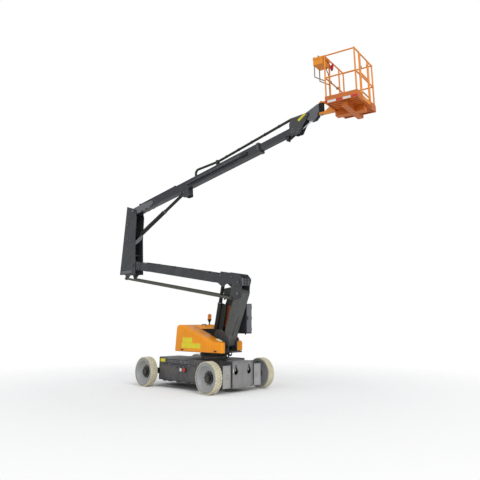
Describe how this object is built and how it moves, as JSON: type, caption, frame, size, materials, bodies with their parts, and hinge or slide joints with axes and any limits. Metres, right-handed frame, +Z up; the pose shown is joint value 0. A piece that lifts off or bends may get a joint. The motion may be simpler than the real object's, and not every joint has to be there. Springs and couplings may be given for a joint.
{
  "type": "articulating boom lift",
  "caption": "Battery articulating boom lift with a slewing turntable, two parallel-link riser arms, an upright, a telescoping boom and a turning work platform.",
  "frame": {"origin": "on the ground under the slew axis", "axes": "+X the way the boom points, +Y to its left, +Z up"},
  "size_m": [8.4117, 1.85, 6.9306],
  "materials": {
    "tyre": "matte",
    "rim": "satin",
    "hood_paint": "gloss",
    "platform_paint": "satin",
    "beacon": "gloss",
    "battery": "matte",
    "hose": "matte",
    "plate_grey": "satin",
    "panel": "satin",
    "black": "satin",
    "rod_finish": "gloss",
    "cabinet": "satin",
    "arm_paint": "satin"
  },
  "bodies": {
    "chassis": {"chassis_frame": "arm_paint", "front_plate": "plate_grey", "front_guards": "plate_grey", "deck": "arm_paint", "battery_box_near": "panel", "battery_box_far": "panel", "batteries": "battery", "front_axle": "black", "rear_axle": "black", "slew_base": "black"},
    "knuckle_near": {"knuckle_near": "black"},
    "knuckle_far": {"knuckle_far": "black"},
    "turntable": {"slew_ring": "black", "turntable_frame": "arm_paint", "counterweight": "arm_paint", "rear_cover": "hood_paint", "cabinet": "cabinet", "cabinet_post": "arm_paint", "lifting_eye": "black"},
    "hood_near": {"hood_near": "hood_paint"},
    "hood_far": {"hood_far": "hood_paint", "beacon": "beacon"},
    "lower_arm": {"lower_arm": "arm_paint"},
    "lower_link": {"lower_link": "arm_paint"},
    "knee": {"knee": "arm_paint"},
    "riser_barrel": {"riser_cylinder_barrel": "black"},
    "riser_rod": {"riser_cylinder_rod": "rod_finish"},
    "upper_arm": {"upper_arm": "arm_paint"},
    "upper_link": {"upper_link": "arm_paint"},
    "upright": {"upright": "arm_paint"},
    "boom": {"boom_outer": "arm_paint", "boom_bracket": "arm_paint"},
    "boom_cyl_barrel": {"lift_cylinder_barrel": "black"},
    "boom_cyl_rod": {"lift_cylinder_rod": "black"},
    "fly": {"boom_fly": "arm_paint", "boom_head": "arm_paint", "hose_loop": "hose"},
    "platform_fork": {"level_bracket": "arm_paint", "rotator": "black"},
    "level_barrel": {"level_cylinder_barrel": "black"},
    "level_rod": {"level_cylinder_rod": "rod_finish"},
    "platform": {"platform_floor": "platform_paint", "platform_rails": "platform_paint", "console": "platform_paint", "console_frame": "platform_paint", "platform_mount": "platform_paint"},
    "gate": {"gate": "platform_paint"},
    "wheel_front_near": {"tyre_front_near": "tyre", "rim_front_near": "rim"},
    "wheel_front_far": {"tyre_front_far": "tyre", "rim_front_far": "rim"},
    "wheel_rear_near": {"tyre_rear_near": "tyre", "rim_rear_near": "rim"},
    "wheel_rear_far": {"tyre_rear_far": "tyre", "rim_rear_far": "rim"}
  },
  "joints": [
    {"name": "steer_near", "type": "hinge", "parent": "chassis", "child": "knuckle_near", "pos_m": [0.73, -0.655, 0.33], "axis": [0, 0, 1], "range_deg": [-30, 30]},
    {"name": "spin_front_near", "type": "hinge", "parent": "knuckle_near", "child": "wheel_front_near", "pos_m": [0.73, -0.83, 0.33], "axis": [0, 1, 0], "continuous": true},
    {"name": "spin_rear_near", "type": "hinge", "parent": "chassis", "child": "wheel_rear_near", "pos_m": [-1.47, -0.83, 0.33], "axis": [0, 1, 0], "continuous": true},
    {"name": "steer_far", "type": "hinge", "parent": "chassis", "child": "knuckle_far", "pos_m": [0.73, 0.655, 0.33], "axis": [0, 0, 1], "range_deg": [-30, 30]},
    {"name": "spin_front_far", "type": "hinge", "parent": "knuckle_far", "child": "wheel_front_far", "pos_m": [0.73, 0.83, 0.33], "axis": [0, 1, 0], "continuous": true},
    {"name": "spin_rear_far", "type": "hinge", "parent": "chassis", "child": "wheel_rear_far", "pos_m": [-1.47, 0.83, 0.33], "axis": [0, 1, 0], "continuous": true},
    {"name": "slew", "type": "hinge", "parent": "chassis", "child": "turntable", "pos_m": [0, 0, 0.72], "axis": [0, 0, 1], "range_deg": [-175, 175]},
    {"name": "hood_near_swing", "type": "hinge", "parent": "turntable", "child": "hood_near", "pos_m": [-0.702, -0.213, 1], "axis": [0, 0, -1], "range_deg": [0, 75]},
    {"name": "hood_far_swing", "type": "hinge", "parent": "turntable", "child": "hood_far", "pos_m": [-0.702, 0.213, 1], "axis": [0, 0, 1], "range_deg": [0, 75]},
    {"name": "lower_arm_lift", "type": "hinge", "parent": "turntable", "child": "lower_arm", "pos_m": [0.47, 0, 1], "axis": [0, -1, 0], "range_deg": [-30, 7]},
    {"name": "lower_link_swing", "type": "hinge", "parent": "turntable", "child": "lower_link", "pos_m": [0.335, 0, 1.21], "axis": [0, -1, 0], "range_deg": [-30.74, 7.74]},
    {"name": "knee_level", "type": "hinge", "parent": "lower_arm", "child": "knee", "pos_m": [0.90604, 0, 2.07924], "axis": [0, -1, 0], "range_deg": [-7.74, 30.74]},
    {"name": "riser_cylinder_swing", "type": "hinge", "parent": "lower_arm", "child": "riser_barrel", "pos_m": [0.05, -0.05, 0.985], "axis": [0, -1, 0], "range_deg": [-3.32, 0.62]},
    {"name": "riser_cylinder_stroke", "type": "slide", "parent": "riser_barrel", "child": "riser_rod", "axis": [0.2049, 0, 0.9788], "range_m": [-0.10186, 0.55045]},
    {"name": "upper_arm_lift", "type": "hinge", "parent": "knee", "child": "upper_arm", "pos_m": [0.94604, 0, 2.34424], "axis": [0, 1, 0], "range_deg": [-8.8, 53]},
    {"name": "upper_link_swing", "type": "hinge", "parent": "knee", "child": "upper_link", "pos_m": [0.69104, 0, 1.98424], "axis": [0, 1, 0], "range_deg": [-10.04, 54.24]},
    {"name": "upright_level", "type": "hinge", "parent": "upper_arm", "child": "upright", "pos_m": [-3.2984, 0, 3.00132], "axis": [0, 1, 0], "range_deg": [-54.24, 10.04]},
    {"name": "boom_lift", "type": "hinge", "parent": "upright", "child": "boom", "pos_m": [-3.46, 0, 4.59], "axis": [0, -1, 0], "range_deg": [-25, 60]},
    {"name": "boom_cylinder_swing", "type": "hinge", "parent": "boom", "child": "boom_cyl_rod", "pos_m": [-1.32386, 0, 4.79911], "axis": [0, -1, 0], "range_deg": [-13.57, 5.87]},
    {"name": "boom_cylinder_stroke", "type": "slide", "parent": "boom_cyl_rod", "child": "boom_cyl_barrel", "axis": [-0.8959, 0, -0.4443], "range_m": [-0.28892, 0.66766]},
    {"name": "telescope", "type": "slide", "parent": "boom", "child": "fly", "axis": [0.9848, 0, 0.1736], "range_m": [-0.75, 2.4]},
    {"name": "platform_level", "type": "hinge", "parent": "fly", "child": "platform_fork", "pos_m": [2.985, 0, 5.895], "axis": [0, -1, 0], "range_deg": [-61.7, 26.7]},
    {"name": "level_cylinder_swing", "type": "hinge", "parent": "fly", "child": "level_barrel", "pos_m": [2.37902, 0, 5.45203], "axis": [0, -1, 0], "range_deg": [-0.42, 0.77]},
    {"name": "level_cylinder_stroke", "type": "slide", "parent": "level_barrel", "child": "level_rod", "axis": [0.9118, 0, 0.4107], "range_m": [-0.16691, 0.07223]},
    {"name": "platform_turn", "type": "hinge", "parent": "platform_fork", "child": "platform", "pos_m": [3.33, 0, 5.98], "axis": [0, 0, 1], "range_deg": [-90, 70]},
    {"name": "gate_swing", "type": "hinge", "parent": "platform", "child": "gate", "pos_m": [4.33835, 0.34535, 6.3], "axis": [0, 0, -1], "range_deg": [0, 85]}
  ],
  "couplings": [
    {"joint": "steer_far", "follows": "steer_near", "ratio": 1},
    {"joint": "lower_link_swing", "follows": "lower_arm_lift", "ratio": 1},
    {"joint": "knee_level", "follows": "lower_arm_lift", "ratio": -1},
    {"joint": "riser_cylinder_swing", "follows": "upper_arm_lift", "ratio": -0.0613},
    {"joint": "riser_cylinder_stroke", "follows": "upper_arm_lift", "m_per_rad": 0.5815},
    {"joint": "upper_link_swing", "follows": "upper_arm_lift", "ratio": 1},
    {"joint": "upright_level", "follows": "upper_arm_lift", "ratio": -1},
    {"joint": "boom_cylinder_swing", "follows": "boom_lift", "ratio": -0.22},
    {"joint": "boom_cylinder_stroke", "follows": "boom_lift", "m_per_rad": 0.62},
    {"joint": "platform_level", "follows": "boom_lift", "ratio": -1},
    {"joint": "level_cylinder_swing", "follows": "boom_lift", "ratio": 0.01},
    {"joint": "level_cylinder_stroke", "follows": "boom_lift", "m_per_rad": -0.155}
  ]
}
